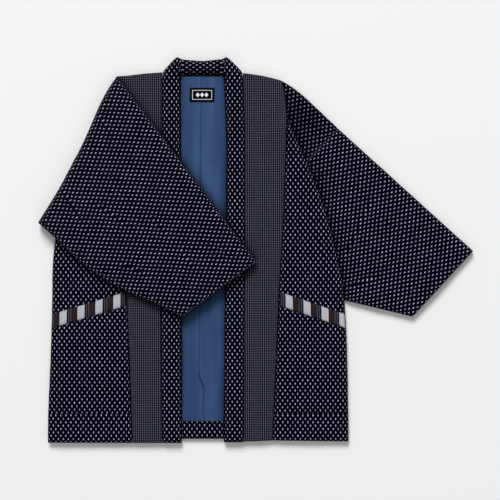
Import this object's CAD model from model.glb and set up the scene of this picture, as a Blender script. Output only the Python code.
# %% [markdown]
# # A padded hanten, laid flat
# A hanten is a short jacket of cotton, padded with wadding and lined. This one lies on its back on a
# white surface: the front is open over a blue lining, the right sleeve lies out, and the left sleeve is
# folded over the front. The solids of the frame already have the garment's form, so this lesson gives
# them a softer surface, the small puckers of padded seams, and the cloths themselves.

# %% Load the frame
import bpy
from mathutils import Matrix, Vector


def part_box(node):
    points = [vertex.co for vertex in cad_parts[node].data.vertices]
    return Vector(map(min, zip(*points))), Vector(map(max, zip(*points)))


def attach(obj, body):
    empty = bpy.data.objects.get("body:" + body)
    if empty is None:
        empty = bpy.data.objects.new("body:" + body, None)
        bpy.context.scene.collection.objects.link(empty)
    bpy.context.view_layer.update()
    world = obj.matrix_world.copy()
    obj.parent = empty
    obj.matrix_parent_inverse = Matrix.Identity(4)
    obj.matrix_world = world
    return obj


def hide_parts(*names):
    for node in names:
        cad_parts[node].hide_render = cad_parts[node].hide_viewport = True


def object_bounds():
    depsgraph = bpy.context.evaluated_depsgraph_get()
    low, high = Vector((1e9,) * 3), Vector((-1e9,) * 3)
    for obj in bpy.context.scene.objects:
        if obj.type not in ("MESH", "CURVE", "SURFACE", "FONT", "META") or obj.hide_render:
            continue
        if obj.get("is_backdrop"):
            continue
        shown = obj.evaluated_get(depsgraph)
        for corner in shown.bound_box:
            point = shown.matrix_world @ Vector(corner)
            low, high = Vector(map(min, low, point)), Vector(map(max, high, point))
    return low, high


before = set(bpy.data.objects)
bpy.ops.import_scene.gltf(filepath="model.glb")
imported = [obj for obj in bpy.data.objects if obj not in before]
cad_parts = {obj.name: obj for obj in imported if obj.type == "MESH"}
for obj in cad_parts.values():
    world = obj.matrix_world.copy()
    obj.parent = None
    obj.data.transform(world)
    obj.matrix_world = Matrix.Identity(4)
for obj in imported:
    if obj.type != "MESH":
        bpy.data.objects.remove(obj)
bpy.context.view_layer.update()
print("solids in the frame:", len(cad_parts))

# %% [markdown]
# ## Where things are
# All sizes here are metres, in the frame's own place. Cloth is easier to think about from the middle of
# the back and the hem, so two numbers move from one to the other: the label sits on the middle of the
# back, and the back's hem is 3 mm above the line that the fronts' hem starts from.

# %% Middle of the back and hem
import math
import bpy
import numpy as np
from mathutils import Vector, bvhtree, kdtree, noise

MM = 0.001
BACK_HEM = 3 * MM
label_low, label_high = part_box("label")
MIDDLE_X = (label_low[0] + label_high[0]) / 2
HEM_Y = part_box("back_panel")[0][1] - BACK_HEM
print("middle of the back at x", round(MIDDLE_X, 4), "and the hem at y", round(HEM_Y, 4))

# %% [markdown]
# ## Softening a solid
# The solids are faceted. Cloth over wadding has no facets, so each piece starts as a copy of its solid's
# mesh: its loose triangles are merged, turned back into quads, and smoothed by a Subdivision Surface.
# A voxel remesh would do it too, but it would lose the seams, which are only 0.3 mm wide.

# %% Copy and smooth a solid
MERGE = 0.01 * MM
QUAD_LIMIT = math.radians(75)


def only(piece):
    """Selects one piece and nothing else."""
    bpy.ops.object.select_all(action="DESELECT")
    piece.select_set(True)
    bpy.context.view_layer.objects.active = piece


def softened(node, levels):
    """A new piece with the form of a node, smoothed that many times."""
    piece = bpy.data.objects.new(f"{node}_cloth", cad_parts[node].data.copy())
    piece.data.name = piece.name
    piece.data.materials.clear()
    bpy.context.scene.collection.objects.link(piece)
    only(piece)
    bpy.ops.object.mode_set(mode="EDIT")
    bpy.ops.mesh.select_all(action="SELECT")
    bpy.ops.mesh.remove_doubles(threshold=MERGE)
    bpy.ops.mesh.tris_convert_to_quads(face_threshold=QUAD_LIMIT, shape_threshold=QUAD_LIMIT)
    bpy.ops.object.mode_set(mode="OBJECT")
    if levels:
        smooth = piece.modifiers.new("smooth", "SUBSURF")
        smooth.levels = levels
        smooth.render_levels = levels
        bpy.ops.object.modifier_apply(modifier="smooth")
        bpy.ops.object.shade_smooth()
    return piece


# %% [markdown]
# ## Puckers
# Thread pulls padded cloth together, so short ripples run square to every seam and edge and die out
# within a few centimetres. For each point the nearest point of the rim is found, and the ripple's height
# is a noise read there, so it stays the same on the way in from the rim. A weaker, wider noise gives the
# unevenness of the wadding.

# %% Ripples from the rim
RIPPLE_REACH = 16 * MM
RIPPLE_LENGTH = 21 * MM
WADDING_LENGTH = 62 * MM
RIM_SLOPE = 0.45  # a vertex whose normal is flatter than this lies on the rim
UPPER_GAIN = 2  # how quickly ripples and creases come in where a rim turns to the upper side


def vertex_table(piece, what):
    """The place or the normal of every vertex, a row each."""
    data = np.empty(len(piece.data.vertices) * 3)
    piece.data.vertices.foreach_get(what, data)
    return data.reshape(-1, 3)


def move_vertices(piece, points):
    piece.data.vertices.foreach_set("co", points.ravel())
    piece.data.update()


def from_hem(points):
    """How far east of the middle of the back and north of the hem each point is, in millimetres."""
    return (points[:, 0] - MIDDLE_X) / MM, (points[:, 1] - HEM_Y) / MM


def noise_at(points, length, seed):
    """Smooth noise from -1 to 1 at each point, with features about as long as length."""
    place = Vector((seed * 7.13, seed * 3.71, seed * 1.93))
    return np.array([noise.noise(Vector(p) / length + place) for p in points])


def pucker(piece, ripple, wadding, seed):
    """Moves the upper side of a piece by ripples near its rim and by the wadding's unevenness."""
    points = vertex_table(piece, "co")
    normals = vertex_table(piece, "normal")
    rim = np.flatnonzero(np.abs(normals[:, 2]) < RIM_SLOPE)
    tree = kdtree.KDTree(len(rim))
    for i in rim:
        tree.insert(points[i], int(i))
    tree.balance()
    near = [tree.find(p) for p in points]
    distance = np.array([n[2] for n in near])
    feet = np.array([n[0][:] for n in near])
    upper = np.clip(normals[:, 2] * UPPER_GAIN, 0, 1)
    wave = noise_at(feet, RIPPLE_LENGTH, seed) * np.exp(-distance / RIPPLE_REACH)
    soft = noise_at(points * (1, 1, 0), WADDING_LENGTH, seed + 1)
    fade = np.clip(distance / RIPPLE_REACH, 0, 1)
    lift = upper * (wave * ripple + soft * wadding * fade)
    points += normals * lift[:, None]
    move_vertices(piece, points)
    return float(np.abs(lift).max())


# %% [markdown]
# ## Creases placed by hand
# The large folds are in the solids already. The smaller ones are soft troughs and ridges, each with its
# own middle, direction, length and width, in millimetres from the middle of the back and the hem. The
# sleeves have the marks of having been packed flat. The lining lies close on the back, so a trough would
# cut through it: its little pleat and its folds are ridges only, and the dark lines are between them.

# %% Table of small creases
# middle x, middle y, turn in degrees, length, width, depth (a ridge is negative)
CREASES = {
    "back_lining": [
        (-8, 127, 102, 50, 3.6, -1.3), (4, 133, 102, 46, 3.6, -1.2), (-3, 155, 16, 20, 3.2, -1.0),
        (13, 110, 128, 34, 3.6, -1.0), (-2, 74, 91, 62, 3.6, -0.7), (8, 72, 92, 62, 3.6, -0.7),
        (-11, 300, 90, 270, 4.0, -0.6), (0, 300, 90, 270, 4.0, -0.6), (-30, 330, 88, 150, 8.0, -1.4),
        (24, 560, 92, 120, 8.0, -1.2), (-26, 690, 91, 90, 7.0, -1.0), (30, 90, 84, 70, 6.0, -1.2),
        (34, 250, 95, 110, 7.0, -1.1), (-36, 190, 93, 120, 7.0, -1.1),
    ],
    "left_sleeve": [
        (-200, 500, -32, 130, 7, 1.3), (-90, 470, -48, 90, 8, 1.1), (-150, 380, -24, 80, 6, 1.0),
        (-285, 520, -58, 110, 7, 1.2), (-30, 400, -60, 60, 6, 0.9), (-215, 700, -62, 70, 5, 0.9),
        (40, 420, -52, 60, 7, -1.0),
    ],
    "right_sleeve": [
        (330, 440, 64, 120, 6, 1.3), (362, 510, 58, 90, 7, 1.0), (420, 470, -34, 110, 7, 1.1),
        (500, 400, -46, 70, 6, 1.0), (350, 350, 16, 90, 6, 1.4), (315, 600, -40, 80, 6, 0.9),
        (470, 340, 52, 60, 6, -0.9),
    ],
    "right_front_side": [
        (238, 500, -68, 90, 5, 1.0), (262, 420, -74, 120, 6, 1.1), (220, 390, -50, 60, 6, 0.8),
        (285, 120, 20, 70, 6, 0.9), (200, 470, 80, 80, 6, -0.8),
    ],
    "left_front_side": [
        (-300, 330, -20, 70, 6, 1.0), (-250, 350, -38, 80, 6, 0.9), (-290, 140, 12, 80, 7, 0.8),
    ],
    "right_front_turn": [(240, 700, -46, 60, 5, 0.9), (215, 735, -52, 50, 5, 0.8)],
    "right_front_band": [(130, 690, 72, 60, 6, 0.8), (128, 420, 6, 50, 6, 0.7), (140, 180, -5, 60, 7, 0.6)],
    "left_front_band": [(-120, 740, 76, 50, 6, 0.8), (-128, 200, 4, 56, 7, 0.7)],
}
KEEP_OFF_RIM = 0.6
CREASE_END = 1.2  # a crease fades out a little beyond its length
BEND = 0.03  # how far a crease wanders from its straight line, and over how many millimetres
BEND_LENGTH = 23


def crease(piece, table):
    """Presses the creases of a table into the upper side of a piece."""
    points = vertex_table(piece, "co")
    upper = np.clip(vertex_table(piece, "normal")[:, 2] * UPPER_GAIN - KEEP_OFF_RIM, 0, 1)
    all_east, all_north = from_hem(points)
    depth = np.zeros(len(points))
    for x, y, turn, length, width, deep in table:
        angle = math.radians(turn)
        east = all_east - x
        north = all_north - y
        run = east * math.cos(angle) + north * math.sin(angle)
        off = north * math.cos(angle) - east * math.sin(angle) + BEND * run * np.sin(run / BEND_LENGTH)
        end = np.clip(CREASE_END - np.abs(run) / (length / 2), 0, 1)
        depth += deep * end * end * (3 - 2 * end) * np.exp(-((off / width) ** 2))
    points[:, 2] -= depth * upper * MM
    move_vertices(piece, points)
    return len(table)


# %% [markdown]
# ## Two places pulled out again
# Smoothing draws in every corner. At the left shoulder that let light through between the body and the
# sleeve's fold, so the body's corner is pulled back out under the fold. The left side seam is pulled out
# too, by some millimetres near the hem, where the wadding makes it bulge. Layers that lie on each other are
# moved alike, so none of them slips through another.

# %% Pull a place
# the pieces, x, y, reach across, reach along, then how far east and north, all in millimetres
PULLS = [
    (("left_front_band", "back_panel"), -181, 799, 13, 13, -9, 1),
    (("left_front_side", "back_panel", "left_pocket", "left_pocket_trim"), -335, 30, 64, 170, -6.5, 0),
]


def pull(piece, x, y, across, along, east, north):
    """Moves the cloth sideways, most at x and y, which start from the middle of the back and the hem."""
    points = vertex_table(piece, "co")
    all_east, all_north = from_hem(points)
    share = np.exp(-(((all_east - x) / across) ** 2) - ((all_north - y) / along) ** 2) * MM
    points[:, 0] += east * share
    points[:, 1] += north * share
    move_vertices(piece, points)


# %% [markdown]
# ## A pattern that follows the cloth
# The marks are woven, so they must run with each piece's own thread and turn over its edges. Each piece
# gets a UV map called cloth, in metres: U across the threads and V along the warp. On the rounded edges
# the map is pushed outwards by the slope, which lets the pattern run on down the side. How far each point
# faces up is kept too: the materials are darker in the steep sides of a seam, where dust and shade gather.
# A short table adds the places that the photo shows in the shade: the collar's inner side behind the neck,
# and the folds at the right shoulder.

# %% Write the cloth map
# x and y from the middle of the back and the hem, radius, share of the light that is lost
DULL = {
    "collar": [
        (-40, 803, 17, 0.3), (-20, 801, 18, 0.34), (0, 801, 18, 0.34), (20, 801, 18, 0.34),
        (40, 803, 17, 0.3),
    ],
    "right_front_turn": [(215, 735, 50, 0.2), (240, 690, 60, 0.24)],
    "right_sleeve": [(240, 660, 26, 0.18), (254, 622, 28, 0.2), (268, 580, 28, 0.2), (282, 540, 26, 0.14)],
}
FLAT_SEAM = ((234, 619), (295, 685))  # the two ends of the turned part's seam on the sleeve
FLAT_REACH = 7
ALWAYS_LIT = 2.0  # facing_up is more than 1 only where a seam is meant to vanish
VANISHED = (1.1, 1.9)
WRAP = 6 * MM  # how much further the pattern runs on a side that stands upright


def face_table(piece, what, kind, width):
    data = np.empty(len(piece.data.polygons) * width, dtype=kind)
    piece.data.polygons.foreach_get(what, data)
    return data


def lay_pattern(piece, turn, wrap, shift, swap, mirror):
    """turn is the angle of the weft in degrees; swap picks the places where warp and weft trade."""
    points = vertex_table(piece, "co")
    normals = vertex_table(piece, "normal")
    x = points[:, 0] - MIDDLE_X + normals[:, 0] * wrap
    y = points[:, 1] - HEM_Y + normals[:, 1] * wrap
    angle = math.radians(turn)
    u = x * math.cos(angle) + y * math.sin(angle) + shift[0]
    v = y * math.cos(angle) - x * math.sin(angle) + shift[1]
    corners = np.empty(len(piece.data.loops), dtype=np.int32)
    piece.data.loops.foreach_get("vertex_index", corners)
    flat = np.column_stack([u, v])[corners]
    if swap is not None:
        centres = face_table(piece, "center", np.float64, 3).reshape(-1, 3) - (MIDDLE_X, HEM_Y, 0)
        turned = np.repeat(swap(centres), face_table(piece, "loop_total", np.int32, 1))
        flat[turned] = flat[turned][:, ::-1]
    if mirror:
        flat[:, 0] *= -1
    layer = piece.data.uv_layers.new(name="cloth")
    layer.data.foreach_set("uv", flat.ravel())


def keep_facing(piece, dull, ribbon, flat_seam):
    """Keeps how far each point faces up: less in a dull place, and all of it on a ribbon."""
    east, north = from_hem(vertex_table(piece, "co"))
    upright = vertex_table(piece, "normal")[:, 2]
    up = np.ones(len(upright)) if ribbon else upright.copy()
    for x, y, radius, loss in dull:
        off = np.hypot(east - x, north - y)
        up *= 1 - loss * np.exp(-((off / radius) ** 2))
    if flat_seam:
        start, end = np.array(FLAT_SEAM)
        run = (end - start) / np.linalg.norm(end - start)
        off = np.abs((east - start[0]) * run[1] - (north - start[1]) * run[0])
        up = np.where((off < FLAT_REACH) & (upright > 0), ALWAYS_LIT, up)
    facing = piece.data.attributes.new(name="facing_up", type="FLOAT", domain="POINT")
    facing.data.foreach_set("value", up)


# %% [markdown]
# ## Building a material from small formulas
# Every cloth is a Principled BSDF with a pattern worked out by Math nodes. This small helper adds nodes
# to one material and joins them, so that a formula reads as a formula.

# %% A helper for material formulas
STEEP = (0.45, 0.95)  # how far up the side of a seam and the open cloth face
IN_SEAM = 0.14  # how much of its lightness the cloth keeps in a seam
SHADE_REACH = 34 * MM  # how far away a higher layer still shades the cloth beside it
SHADED = (0.5, 0.97)  # the share of open sky at which the shade is full, and at which it is gone
IN_SHADE = 0.2
SHADE_SAMPLES = 8
BUMP_STRENGTH = 0.6


class Weave:
    """Adds the nodes of one cloth."""

    def __init__(self, name, roughness, sheen):
        self.material = bpy.data.materials.new(name)
        self.material.use_nodes = True
        self.nodes = self.material.node_tree.nodes
        self.links = self.material.node_tree.links
        self.shader = self.nodes["Principled BSDF"]
        self.shader.inputs["Roughness"].default_value = roughness
        self.shader.inputs["Sheen Weight"].default_value = sheen
        self.shader.inputs["Sheen Roughness"].default_value = 0.5
        self.shader.inputs["Specular IOR Level"].default_value = 0.03
        source = self.nodes.new("ShaderNodeUVMap")
        source.uv_map = "cloth"
        self.place = source.outputs[0]
        split = self.nodes.new("ShaderNodeSeparateXYZ")
        self.links.new(self.place, split.inputs[0])
        self.u, self.v = split.outputs[0], split.outputs[1]
        facing = self.nodes.new("ShaderNodeAttribute")
        facing.attribute_name = "facing_up"
        near = self.nodes.new("ShaderNodeAmbientOcclusion")
        near.samples = SHADE_SAMPLES
        near.inputs["Distance"].default_value = SHADE_REACH
        clear = self.step(near.outputs["AO"], *SHADED)
        lit = self.math("ADD", IN_SHADE, self.math("MULTIPLY", clear, 1 - IN_SHADE))
        up = facing.outputs["Fac"]
        shaded = self.math("MULTIPLY", self.step(up, *STEEP), lit)
        self.open = self.math("MAXIMUM", shaded, self.step(up, *VANISHED))

    def put(self, value, socket):
        """Joins another node's output to a socket, or sets its number or colour."""
        if isinstance(value, bpy.types.NodeSocket):
            self.links.new(value, socket)
        else:
            socket.default_value = value

    def math(self, operation, *values):
        node = self.nodes.new("ShaderNodeMath")
        node.operation = operation
        for value, socket in zip(values, node.inputs):
            self.put(value, socket)
        return node.outputs[0]

    def step(self, value, low, high):
        """0 below low and 1 above high, smooth between; low above high turns it round."""
        node = self.nodes.new("ShaderNodeMapRange")
        node.interpolation_type = "SMOOTHSTEP"
        turned = low > high
        for name, number in zip(("From Min", "From Max"), sorted((low, high))):
            node.inputs[name].default_value = number
        node.inputs["To Min"].default_value = 1.0 if turned else 0.0
        node.inputs["To Max"].default_value = 0.0 if turned else 1.0
        self.put(value, node.inputs["Value"])
        return node.outputs["Result"]

    def speckle(self, size, detail=2.0, stretch=(1, 1, 1)):
        """Noise from about 0 to 1 with features of that size in metres."""
        scale = self.nodes.new("ShaderNodeMapping")
        scale.inputs["Scale"].default_value = [s / size for s in stretch]
        self.links.new(self.place, scale.inputs["Vector"])
        node = self.nodes.new("ShaderNodeTexNoise")
        node.inputs["Scale"].default_value = 1.0
        node.inputs["Detail"].default_value = detail
        self.links.new(scale.outputs[0], node.inputs["Vector"])
        return node.outputs["Fac"]

    def mixed(self, share, first, second):
        """The first colour where the share is 0 and the second where it is 1."""
        node = self.nodes.new("ShaderNodeMix")
        node.data_type = "RGBA"
        self.put(share, node.inputs["Factor"])
        self.put(first, node.inputs[6])
        self.put(second, node.inputs[7])
        return node.outputs[2]

    def centred(self, value):
        """What is left of a value past its whole number, from -0.5 to 0.5."""
        return self.math("SUBTRACT", self.math("FRACT", value), 0.5)

    def cell(self, across, along):
        """A steady random number for each whole pair of numbers."""
        pair = self.nodes.new("ShaderNodeCombineXYZ")
        self.put(across, pair.inputs[0])
        self.put(along, pair.inputs[1])
        node = self.nodes.new("ShaderNodeTexWhiteNoise")
        node.noise_dimensions = "2D"
        self.links.new(pair.outputs[0], node.inputs["Vector"])
        return node.outputs["Value"]

    def threads(self, pitch):
        """A plain weave's height: two crossed waves."""
        across = self.math("SINE", self.math("MULTIPLY", self.u, 2 * math.pi / pitch))
        along = self.math("SINE", self.math("MULTIPLY", self.v, 2 * math.pi / pitch))
        return self.math("MULTIPLY", across, along)

    def finish(self, colour, height, depth):
        """Sets the colour, darker in the seams and the shade, and the bump; depth is in metres."""
        shade = self.math("ADD", IN_SEAM, self.math("MULTIPLY", self.open, 1 - IN_SEAM))
        node = self.nodes.new("ShaderNodeVectorMath")
        node.operation = "SCALE"
        self.put(colour, node.inputs[0])
        self.put(shade, node.inputs["Scale"])
        self.put(node.outputs[0], self.shader.inputs["Base Color"])
        bump = self.nodes.new("ShaderNodeBump")
        bump.inputs["Distance"].default_value = depth
        bump.inputs["Strength"].default_value = BUMP_STRENGTH
        self.put(height, bump.inputs["Height"])
        self.links.new(bump.outputs[0], self.shader.inputs["Normal"])
        return self.material


def paint(red, green, blue):
    """An sRGB colour, from 0 to 255, as the linear colour that a socket takes."""
    linear = [((c / 255 + 0.055) / 1.055) ** 2.4 if c > 10 else c / 255 / 12.92 for c in (red, green, blue)]
    return (*linear, 1.0)


# %% [markdown]
# ## The kasuri cloth
# Kasuri is woven from threads that were tied before dyeing, so its marks are small pale dashes with soft
# ends, in rows that are shifted by half a step. Each dash is an oval in its own cell, its edge roughened
# by noise, and each has its own strength, because no two knots were tied alike.

# %% Kasuri material
MARK_STEP = 11.1 * MM
ROW_STEP = 7.5 * MM
MARK_HALF_WIDTH = 1.2 * MM
MARK_HALF_LENGTH = 2.5 * MM
MARK_EDGE = (1.15, 0.45)  # where a mark ends and where it is full, in shares of its half sizes
MARK_ROUGH = 0.9
LEAST_STRENGTH = 0.58  # every mark has this much, then some of its own and some of its place
OWN_STRENGTH = 0.38
PLACE_STRENGTH = 0.22
PLACES = (0.35, 0.65)  # the noise from which a place counts, and at which it counts fully
SLUBS = (0.45, 0.8)  # the same for the thicker places of the yarn
SLUB_STRENGTH = 0.2
MARK_RISE = 0.8  # how much a mark stands up, beside 1 for a thread
THREAD = 0.9 * MM


def kasuri():
    w = Weave("kasuri", 0.95, 0.0)
    rows = w.math("DIVIDE", w.v, ROW_STEP)
    row = w.math("FLOOR", rows)
    odd = w.math("MULTIPLY", w.math("FLOORED_MODULO", row, 2.0), 0.5)
    columns = w.math("ADD", w.math("DIVIDE", w.u, MARK_STEP), odd)
    column = w.math("FLOOR", columns)
    across = w.math("MULTIPLY", w.centred(columns), MARK_STEP / MARK_HALF_WIDTH)
    along = w.math("MULTIPLY", w.centred(rows), ROW_STEP / MARK_HALF_LENGTH)
    far = w.math("SQRT", w.math("ADD", w.math("MULTIPLY", across, across), w.math("MULTIPLY", along, along)))
    rough = w.math("MULTIPLY", w.math("SUBTRACT", w.speckle(1.3 * MM), 0.5), MARK_ROUGH)
    mark = w.step(w.math("ADD", far, rough), *MARK_EDGE)
    own = w.math("MULTIPLY", w.cell(column, row), OWN_STRENGTH)
    faded = w.math("MULTIPLY", w.step(w.speckle(26 * MM), *PLACES), PLACE_STRENGTH)
    strength = w.math("ADD", LEAST_STRENGTH, w.math("ADD", own, faded))
    ground = w.mixed(w.speckle(38 * MM), paint(1, 1, 11), paint(5, 4, 21))
    slub = w.step(w.speckle(2.4 * MM, 1.0, (1, 0.12, 1)), *SLUBS)
    ground = w.mixed(w.math("MULTIPLY", slub, SLUB_STRENGTH), ground, paint(28, 27, 46))
    colour = w.mixed(w.math("MULTIPLY", mark, strength), ground, paint(208, 206, 234))
    height = w.math("ADD", w.threads(THREAD), w.math("MULTIPLY", mark, MARK_RISE))
    return w.finish(colour, height, 0.25 * MM)


# %% [markdown]
# ## The checked cloth
# The bands beside the collar are a finer cloth: a dark ground with pale threads every few millimetres
# both ways. Lines that cross add up, so the crossings are the lightest points.

# %% Checked material
CHECK_ACROSS = 4.75 * MM
CHECK_ALONG = 5.2 * MM
LINE_SHARE = 0.14  # how wide a pale thread is in its step, and how soft at its sides
LINE_SOFT = 0.04
UPRIGHT_LINE = 0.78
LEVEL_LINE = 0.42


def line_every(w, place, step):
    """1 on a thread line that repeats every step."""
    middle = w.math("ABSOLUTE", w.centred(w.math("DIVIDE", place, step)))
    return w.step(middle, LINE_SHARE / 2 + LINE_SOFT, LINE_SHARE / 2 - LINE_SOFT)


def checked():
    w = Weave("checked", 0.95, 0.0)
    upright = w.math("MULTIPLY", line_every(w, w.u, CHECK_ACROSS), UPRIGHT_LINE)
    level = w.math("MULTIPLY", line_every(w, w.v, CHECK_ALONG), LEVEL_LINE)
    both = w.math("MINIMUM", w.math("ADD", upright, level), 1.0)
    uneven = w.math("ADD", 0.7, w.math("MULTIPLY", w.speckle(9 * MM), 0.6))
    ground = w.mixed(w.speckle(44 * MM), paint(2, 2, 10), paint(7, 7, 19))
    colour = w.mixed(w.math("MULTIPLY", both, uneven), ground, paint(130, 130, 150))
    return w.finish(colour, w.math("ADD", w.threads(THREAD), both), 0.25 * MM)


# %% [markdown]
# ## The lining
# The lining is a smooth plain cotton in a greyed blue, a little shinier than the outside. It could be a
# plain colour, but a real one shows its seam, soft ripples along the warp, and shade at both sides, so
# these are worked out from the place on the cloth. A little tuck near the hem moves the seam sideways.

# %% Lining material
SEAM_PLACE = -5.6 * MM  # the lining's own middle seam, left of the middle of the back
TUCK_TOP = 150 * MM  # a little tuck moves the seam to the right between these heights
TUCK_END = 108 * MM
SEAM_JOG = 10.2 * MM
SEAM_UPRIGHT = 280 * MM  # the seam leans to one side above this height and to the other below it
SEAM_LEAN = 0.0065
SEAM_HALF = 1.1 * MM
TUCK_SHADE_LOW = (90 * MM, 124 * MM)  # the seam is darker between these two slopes, at the tuck
TUCK_SHADE_HIGH = (164 * MM, 136 * MM)
HEM_SHADE = (600 * MM, 60 * MM)  # the cloth gets darker from the first height down to the second
LINING_HALF = 51 * MM
LINING_THREAD = 0.7 * MM
SIDE_SHADE = (0.62, 1.05)  # in shares of half the lining's width
FINE_THREADS = (0.4, 0.8)
WARP_RIPPLES = (0.35, 0.62)


def lining():
    w = Weave("lining", 0.8, 0.06)
    cloudy = w.mixed(w.speckle(120 * MM), paint(50, 74, 114), paint(70, 99, 144))
    thread = w.math("MULTIPLY", w.step(w.speckle(1.6 * MM, 1.0, (1, 0.1, 1)), *FINE_THREADS), 0.2)
    colour = w.mixed(thread, cloudy, paint(78, 103, 142))
    jog = w.math("MULTIPLY", w.step(w.v, TUCK_TOP, TUCK_END), SEAM_JOG)
    jog = w.math("ADD", jog, w.math("MULTIPLY", w.math("SUBTRACT", w.v, SEAM_UPRIGHT), SEAM_LEAN))
    wander = w.math("MULTIPLY", w.math("SUBTRACT", w.speckle(90 * MM), 0.5), 3 * MM)
    off = w.math("ADD", w.math("SUBTRACT", w.math("SUBTRACT", w.u, SEAM_PLACE), jog), wander)
    ripple = w.math("MULTIPLY", w.step(w.speckle(26 * MM, 1.0, (1, 0.09, 1)), *WARP_RIPPLES), 0.4)
    colour = w.mixed(ripple, colour, paint(33, 52, 86))
    seam = w.step(w.math("ABSOLUTE", off), 3 * SEAM_HALF, 0.0)
    tucked = w.math("MULTIPLY", w.step(w.v, *TUCK_SHADE_LOW), w.step(w.v, *TUCK_SHADE_HIGH))
    deep = w.math("ADD", 0.5, w.math("MULTIPLY", tucked, 0.4))
    colour = w.mixed(w.math("MULTIPLY", seam, deep), colour, paint(24, 39, 70))
    colour = w.mixed(w.math("MULTIPLY", w.step(w.v, *HEM_SHADE), 0.3), colour, paint(40, 62, 100))
    side = w.step(w.math("ABSOLUTE", w.math("DIVIDE", w.u, LINING_HALF)), *SIDE_SHADE)
    colour = w.mixed(w.math("MULTIPLY", side, 0.6), colour, paint(26, 42, 72))
    height = w.math("SUBTRACT", w.threads(LINING_THREAD), w.math("MULTIPLY", seam, 1.5))
    return w.finish(colour, height, 0.15 * MM)


# %% [markdown]
# ## The pocket trim
# The trim is cut across a broad stripe: navy with two thin light lines, brown, and a speckled white. One
# fraction, which runs from 0 to 1 across each repeat, is enough: every colour starts where it passes a
# named share.

# %% Striped material
STRIPE_STEP = 39.5 * MM
NAVY_END = 0.29
BROWN_END = 0.59
WHITE_END = 0.985
STRIPE_SOFT = 0.012
LIGHT_LINES = (0.36, 0.78)  # the middles of the two light lines, as shares of the navy
LIGHT_LINE_EDGE = (0.03, 0.008)


def striped():
    w = Weave("striped", 0.92, 0.0)
    part = w.math("FRACT", w.math("DIVIDE", w.u, STRIPE_STEP))
    ground = w.mixed(w.speckle(20 * MM), paint(16, 16, 28), paint(26, 26, 40))
    brown = w.mixed(w.speckle(2.2 * MM), paint(34, 24, 26), paint(56, 41, 43))
    pale = w.mixed(w.speckle(1.8 * MM, 3.0), paint(158, 157, 170), paint(218, 217, 226))
    first, second = [
        w.step(w.math("ABSOLUTE", w.math("SUBTRACT", part, NAVY_END * share)), *LIGHT_LINE_EDGE)
        for share in LIGHT_LINES
    ]
    lines = w.math("MULTIPLY", w.math("MAXIMUM", first, second), 0.5)
    colour = w.mixed(lines, ground, paint(120, 122, 136))
    for start, stripe in ((NAVY_END, brown), (BROWN_END, pale), (WHITE_END, ground)):
        colour = w.mixed(w.step(part, start - STRIPE_SOFT, start + STRIPE_SOFT), colour, stripe)
    return w.finish(colour, w.threads(THREAD), 0.25 * MM)


# %% [markdown]
# ## The label
# The label is a dense black ribbon with a woven frame and a row of plain diamonds in white. Both come from
# the distance to the edge and the middle, so nothing is drawn by hand. Then all cloths are made once and
# kept by the names of their slots.

# %% Label material
# insets and edges are in halves of the label's height, the row's end in halves of its width
FRAME_INSET = 0.2
FRAME_LINE = (0.055, 0.025)
DIAMONDS = 5  # this many would fill the whole width, and only the middle three are kept
DIAMOND_SLIM = 0.9
DIAMOND_EDGE = (0.44, 0.38)
ROW_END = (0.62, 0.58)


def woven_label():
    w = Weave("label", 0.7, 0.0)
    width = label_high[0] - label_low[0]
    height = label_high[1] - label_low[1]
    across = w.math("DIVIDE", w.u, width / 2)
    along = w.math("DIVIDE", w.math("SUBTRACT", w.v, (label_low[1] + label_high[1]) / 2 - HEM_Y), height / 2)
    side = w.math("MULTIPLY", w.math("SUBTRACT", 1.0, w.math("ABSOLUTE", across)), width / height)
    edge = w.math("MINIMUM", side, w.math("SUBTRACT", 1.0, w.math("ABSOLUTE", along)))
    frame_line = w.step(w.math("ABSOLUTE", w.math("SUBTRACT", edge, FRAME_INSET)), *FRAME_LINE)
    cell = w.centred(w.math("MULTIPLY", w.math("ADD", across, 1.0), DIAMONDS / 2))
    slim = w.math("MULTIPLY", w.math("ABSOLUTE", cell), DIAMOND_SLIM)
    diamond = w.step(w.math("ADD", slim, w.math("ABSOLUTE", along)), *DIAMOND_EDGE)
    within = w.step(w.math("ABSOLUTE", across), *ROW_END)
    drawn = w.math("MAXIMUM", frame_line, w.math("MULTIPLY", diamond, within))
    colour = w.mixed(drawn, paint(5, 5, 7), paint(236, 235, 238))
    return w.finish(colour, w.threads(0.5 * MM), 0.02 * MM)


CLOTHS = {
    "kasuri_cloth": kasuri(),
    "checked_cloth": checked(),
    "lining_cloth": lining(),
    "striped_cloth": striped(),
    "label_cloth": woven_label(),
}
print("cloths:", ", ".join(CLOTHS))

# %% [markdown]
# ## The collar's threads
# The collar is one strip that runs up one side, round the neck and down the other. Behind the neck its
# warp runs across the picture, so there warp and weft trade places.

# %% Where the collar's threads turn
NECK_Y = 0.7985
NECK_HALF = 0.0465


def behind_neck(centres):
    return (np.abs(centres[:, 0]) < NECK_HALF) & (centres[:, 1] > NECK_Y)


# %% [markdown]
# ## Every piece
# One table says how each piece is made: how often it is smoothed, how strongly it puckers, which way its
# threads run, which cloth it is cut from and the size it was cut to. The sleeves' threads run square to
# their upper fold, so their weft turns with them.

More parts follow.
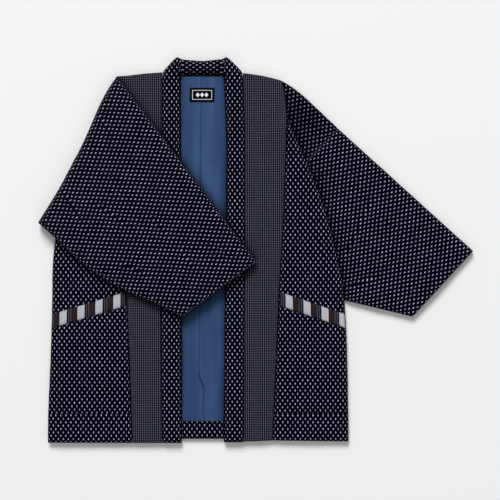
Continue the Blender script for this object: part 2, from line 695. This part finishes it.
# %% The table of pieces
LEFT_WEFT = -56
RIGHT_WEFT = -42
PIECES = {
    "back_panel": dict(
        levels=2, ripple=0.4, wadding=0.3, cloth="kasuri_cloth", flat=(0.656, 0.80), area=0.47,
    ),
    "back_lining": dict(
        levels=3, ripple=0.0, wadding=0.35, cloth="lining_cloth", flat=(0.102, 0.76),
    ),
    "back_hem_facing": dict(
        levels=2, ripple=0.1, wadding=0.1, cloth="kasuri_cloth", flat=(0.093, 0.0375),
    ),
    "label": dict(
        levels=0, ripple=0.0, wadding=0.0, cloth="label_cloth", flat=(0.054, 0.0305), ribbon=True,
    ),
    "left_front_side": dict(
        levels=3, ripple=1.0, wadding=0.7, cloth="kasuri_cloth", flat=(0.18, 0.755), area=0.10,
    ),
    "left_front_band": dict(
        levels=3, ripple=0.7, wadding=0.6, cloth="checked_cloth", flat=(0.085, 0.81),
    ),
    "right_front_side": dict(
        levels=3, ripple=1.1, wadding=0.8, cloth="kasuri_cloth", flat=(0.168, 0.71), area=0.09,
    ),
    "right_front_turn": dict(
        levels=3, ripple=0.6, wadding=0.6, cloth="kasuri_cloth", flat=(0.12, 0.17), area=0.0105,
        turn=RIGHT_WEFT, shift=(4 * MM, 3 * MM), held="folded", flat_seam=True,
    ),
    "right_front_band": dict(
        levels=3, ripple=0.7, wadding=0.6, cloth="checked_cloth", flat=(0.085, 0.81),
    ),
    "collar": dict(
        levels=3, ripple=0.8, wadding=0.5, cloth="kasuri_cloth", flat=(0.042, 1.86), swap=behind_neck,
    ),
    "left_sleeve": dict(
        levels=3, ripple=1.2, wadding=0.9, cloth="kasuri_cloth", flat=(0.82, 0.51), area=0.23,
        turn=LEFT_WEFT, wrap=14 * MM, held="folded",
    ),
    "right_sleeve": dict(
        levels=3, ripple=1.2, wadding=0.9, cloth="kasuri_cloth", flat=(0.80, 0.405), area=0.148,
        turn=RIGHT_WEFT, wrap=8 * MM, flat_seam=True,
    ),
    "left_pocket": dict(
        levels=3, ripple=0.5, wadding=0.5, cloth="kasuri_cloth", flat=(0.16, 0.21),
        shift=(3 * MM, 2 * MM),
    ),
    "right_pocket": dict(
        levels=3, ripple=0.5, wadding=0.5, cloth="kasuri_cloth", flat=(0.15, 0.21),
        shift=(6 * MM, 5 * MM),
    ),
    "left_pocket_trim": dict(
        levels=3, ripple=0.3, wadding=0.2, cloth="striped_cloth", flat=(0.17, 0.0305),
        shift=(178.6 * MM, 0),
    ),
    "right_pocket_trim": dict(
        levels=3, ripple=0.3, wadding=0.2, cloth="striped_cloth", flat=(0.152, 0.0305),
        shift=(-183.2 * MM, 0), mirror=True,
    ),
}

# %% [markdown]
# ## Making the pieces
# Each row of the table goes through the same steps: a smoothed copy, puckers, creases, the pulled places,
# the cloth map and the material. The right trim's stripes run the other way, so its map is mirrored.

# %% Make the pieces
made = {}
for number, (name, how) in enumerate(PIECES.items()):
    piece = softened(name, how["levels"])
    lift = 0.0
    if how["ripple"] or how["wadding"]:
        lift = pucker(piece, how["ripple"] * MM, how["wadding"] * MM, number * 3 + 1)
    creases = crease(piece, CREASES[name]) if name in CREASES else 0
    for names, *how_far in PULLS:
        if name in names:
            pull(piece, *how_far)
    lay_pattern(
        piece,
        turn=how.get("turn", 0),
        wrap=how.get("wrap", WRAP),
        shift=how.get("shift", (0, 0)),
        swap=how.get("swap"),
        mirror=how.get("mirror", False),
    )
    keep_facing(piece, DULL.get(name, ()), how.get("ribbon", False), how.get("flat_seam", False))
    piece.data.materials.append(CLOTHS[how["cloth"]])
    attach(piece, "root")
    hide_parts(name)
    made[name] = piece
    print(piece.name, "faces", len(piece.data.polygons), "lift mm", round(lift / MM, 2), "creases", creases)

# %% [markdown]
# ## Sewing that shows
# A row of short stitches holds the label round its edge, and two rows hold each pocket trim. One stitch is
# modelled once, as a thread that dips into the cloth at both ends, and then copied along each row. The
# place of every copy is found by looking straight down on the finished piece.

# %% One stitch
STITCH = 3.0 * MM
STITCH_GAP = 2.0 * MM
THREAD_HALF = 0.22 * MM
DIP = 0.5 * MM
RAISED = 0.28 * STITCH  # the thread lies on the cloth this far to both sides of its middle
DIPPED = 0.4 * STITCH  # and is down in the cloth beyond this
ABOVE_ALL = 0.1  # the height from which the sewing looks down
THREAD_SHOWS = 0.6  # how much of its half the thread's middle is above the cloth


def one_stitch():
    """A thread along X that dips at both ends."""
    bpy.ops.object.select_all(action="DESELECT")
    bpy.ops.mesh.primitive_cylinder_add(
        vertices=6, radius=THREAD_HALF, depth=STITCH, rotation=(0, math.pi / 2, 0),
    )
    bpy.ops.object.transform_apply(location=False, rotation=True, scale=False)
    stitch = bpy.context.object
    bpy.ops.object.mode_set(mode="EDIT")
    bpy.ops.mesh.bisect(plane_co=(RAISED, 0, 0), plane_no=(1, 0, 0))
    bpy.ops.mesh.select_all(action="SELECT")
    bpy.ops.mesh.bisect(plane_co=(-RAISED, 0, 0), plane_no=(1, 0, 0))
    bpy.ops.object.mode_set(mode="OBJECT")
    for vertex in stitch.data.vertices:
        if abs(vertex.co.x) > DIPPED:
            vertex.co.z -= DIP
    bpy.ops.object.shade_smooth()
    return stitch


def row_of_stitches(start, end):
    """The middle and the heading of each stitch between two places in plan."""
    run = Vector(end) - Vector(start)
    count = max(1, int(run.length / (STITCH + STITCH_GAP)))
    heading = math.atan2(run.y, run.x)
    return [(Vector(start) + run * ((i + 0.5) / count), heading) for i in range(count)]


def sew(name, piece, rows, colour):
    """Copies the stitch along rows on top of a piece and joins the copies."""
    looks = bvhtree.BVHTree.FromObject(piece, bpy.context.evaluated_depsgraph_get())
    pattern = one_stitch()
    copies = []
    for place, heading in (spot for start, end in rows for spot in row_of_stitches(start, end)):
        hit = looks.ray_cast(Vector((place.x, place.y, ABOVE_ALL)), Vector((0, 0, -1)))[0]
        if hit is None:
            continue
        copy = bpy.data.objects.new(f"{name}_stitch", pattern.data.copy())
        copy.location = hit + Vector((0, 0, THREAD_HALF * THREAD_SHOWS))
        copy.rotation_euler = (0, 0, heading)
        bpy.context.scene.collection.objects.link(copy)
        copies.append(copy)
    bpy.data.objects.remove(pattern)
    only(copies[0])
    for copy in copies:
        copy.select_set(True)
    bpy.ops.object.join()
    bpy.ops.object.transform_apply(location=True, rotation=True, scale=True)
    thread = bpy.context.object
    thread.name = name
    thread.data.materials.append(colour)
    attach(thread, "root")
    print(name, "stitches", len(copies))


# %% [markdown]
# ## The thread's colour
# Sewing thread is twisted, so a fine diagonal wave in the object's own space darkens it in turns. Black
# thread holds the label and navy thread the trims, as hidden as on the real jacket.

# %% Thread
TWISTS = 1500
IN_TWIST = 0.6  # how much of its lightness the thread keeps between its twists


def thread_material(name, colour):
    material = bpy.data.materials.new(name)
    material.use_nodes = True
    nodes, links = material.node_tree.nodes, material.node_tree.links
    shader = nodes["Principled BSDF"]
    shader.inputs["Roughness"].default_value = 0.7
    place = nodes.new("ShaderNodeTexCoord")
    twist = nodes.new("ShaderNodeTexWave")
    twist.bands_direction = "DIAGONAL"
    twist.inputs["Scale"].default_value = TWISTS
    ramp = nodes.new("ShaderNodeMix")
    ramp.data_type = "RGBA"
    ramp.inputs[6].default_value = [c * IN_TWIST for c in colour[:3]] + [1]
    ramp.inputs[7].default_value = colour
    links.new(place.outputs["Object"], twist.inputs["Vector"])
    links.new(twist.outputs["Fac"], ramp.inputs["Factor"])
    links.new(ramp.outputs[2], shader.inputs["Base Color"])
    return material


black_thread = thread_material("black_thread", paint(20, 20, 24))
navy_thread = thread_material("navy_thread", paint(26, 28, 48))
print("threads:", black_thread.name, "and", navy_thread.name)

# %% [markdown]
# ## Round the label
# The label is sewn down on all four sides, a little inside its edge. The four corners give four rows.

# %% Stitches of the label
INSET = 1.5 * MM
west, south = label_low[0] + INSET, label_low[1] + INSET
east, north = label_high[0] - INSET, label_high[1] - INSET
corners = [(west, south), (east, south), (east, north), (west, north)]
sides = list(zip(corners, corners[1:] + corners[:1]))
sew("label_thread", made["label"], sides, black_thread)

# %% [markdown]
# ## Along the pocket trims
# Each trim slants, so its rows start high beside the band and end low at the side seam. The slant comes
# from the solid's box: its height less the height of the strip is the drop.

# %% Stitches of the trims
TRIM_HEIGHT = 30.5 * MM
TRIM_INSET = 2.4 * MM
TRIM_END = 5 * MM
END_DROP = 0.03  # the share of the slant's drop that is over at the first stitch
for side, inner_first in (("left", False), ("right", True)):
    low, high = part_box(f"{side}_pocket_trim")
    drop = (high[1] - low[1]) - TRIM_HEIGHT
    inner, outer = (low[0], high[0]) if inner_first else (high[0], low[0])
    step = math.copysign(TRIM_END, outer - inner)
    rows = []
    for top in (high[1] - TRIM_INSET, high[1] - TRIM_HEIGHT + TRIM_INSET):
        rows.append(((inner + step, top - drop * END_DROP), (outer - step, top - drop * (1 - END_DROP))))
    sew(f"{side}_trim_thread", made[f"{side}_pocket_trim"], rows, navy_thread)

# %% [markdown]
# ## The floor
# The jacket lies on a white surface that goes on past the picture. It is a plain plane a hair below the
# cloth, and it's marked as stage, so that it doesn't count as part of the jacket.

# %% Floor
FLOOR_SIZE = 6.0
FLOOR_GAP = 0.3 * MM
bpy.ops.object.select_all(action="DESELECT")
bpy.ops.mesh.primitive_plane_add(size=FLOOR_SIZE, location=(0, 0, -FLOOR_GAP))
floor = bpy.context.object
floor.name = "floor"
paper = bpy.data.materials.new("paper")
paper.use_nodes = True
paper_shader = paper.node_tree.nodes["Principled BSDF"]
paper_shader.inputs["Base Color"].default_value = (0.9, 0.9, 0.91, 1)
paper_shader.inputs["Roughness"].default_value = 0.9
floor.data.materials.append(paper)
floor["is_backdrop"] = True
print("floor", FLOOR_SIZE, "m wide,", round(FLOOR_GAP / MM, 2), "mm below the cloth")

# %% [markdown]
# ## The light
# The picture was taken under a broad soft light low above the collar's side, which leaves a soft shadow
# below the hem and the cuff. A large disk far away does that. A weak second lamp and a pale room keep the
# shadows from going black.

# %% Light
LIT_PLACE = Vector((0, -0.4, 0))


def soft_light(name, place, size, power):
    bpy.ops.object.light_add(type="AREA", location=place)
    lamp = bpy.context.object
    lamp.name = name
    lamp.data.shape = "DISK"
    lamp.data.size = size
    lamp.data.energy = power
    lamp.rotation_euler = (LIT_PLACE - Vector(place)).to_track_quat("-Z", "Y").to_euler()
    print(name, "light", round((LIT_PLACE - Vector(place)).length, 1), "m away")


soft_light("key", place=(-2.6, 12.8, 10.0), size=7.4, power=2740)
soft_light("fill", place=(0.6, -3.4, 4.0), size=4.0, power=34)
world = bpy.data.worlds.new("room")
world.use_nodes = True
sky = world.node_tree.nodes["Background"]
sky.inputs["Color"].default_value = (1, 1, 1, 1)
sky.inputs["Strength"].default_value = 0.3
bpy.context.scene.world = world
bpy.context.scene.view_settings.view_transform = "Standard"

# %% [markdown]
# ## The camera
# The camera looks straight down through a long lens, so the cloth isn't distorted. Its height is worked
# out from the width that it must see, 1.1 m at the height of the cloth.

# %% Camera
FRAME_WIDTH = 1.1
LENS = 85.0
SENSOR = 36.0
CLOTH_HEIGHT = 0.015
AIM_EAST = 0.1056
AIM_NORTH = 0.4202
AIM = (AIM_EAST + MIDDLE_X, AIM_NORTH + HEM_Y)
distance = FRAME_WIDTH * LENS / SENSOR
bpy.ops.object.camera_add(location=(*AIM, CLOTH_HEIGHT + distance), rotation=(0, 0, 0))
camera = bpy.context.object
camera.data.lens = LENS
camera.data.sensor_width = SENSOR
bpy.context.scene.camera = camera
print("camera", round(distance, 3), "m above the cloth")

# %% Sizes and finish
low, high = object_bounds()
print("visual box", [round(b - a, 4) for a, b in zip(low, high)])
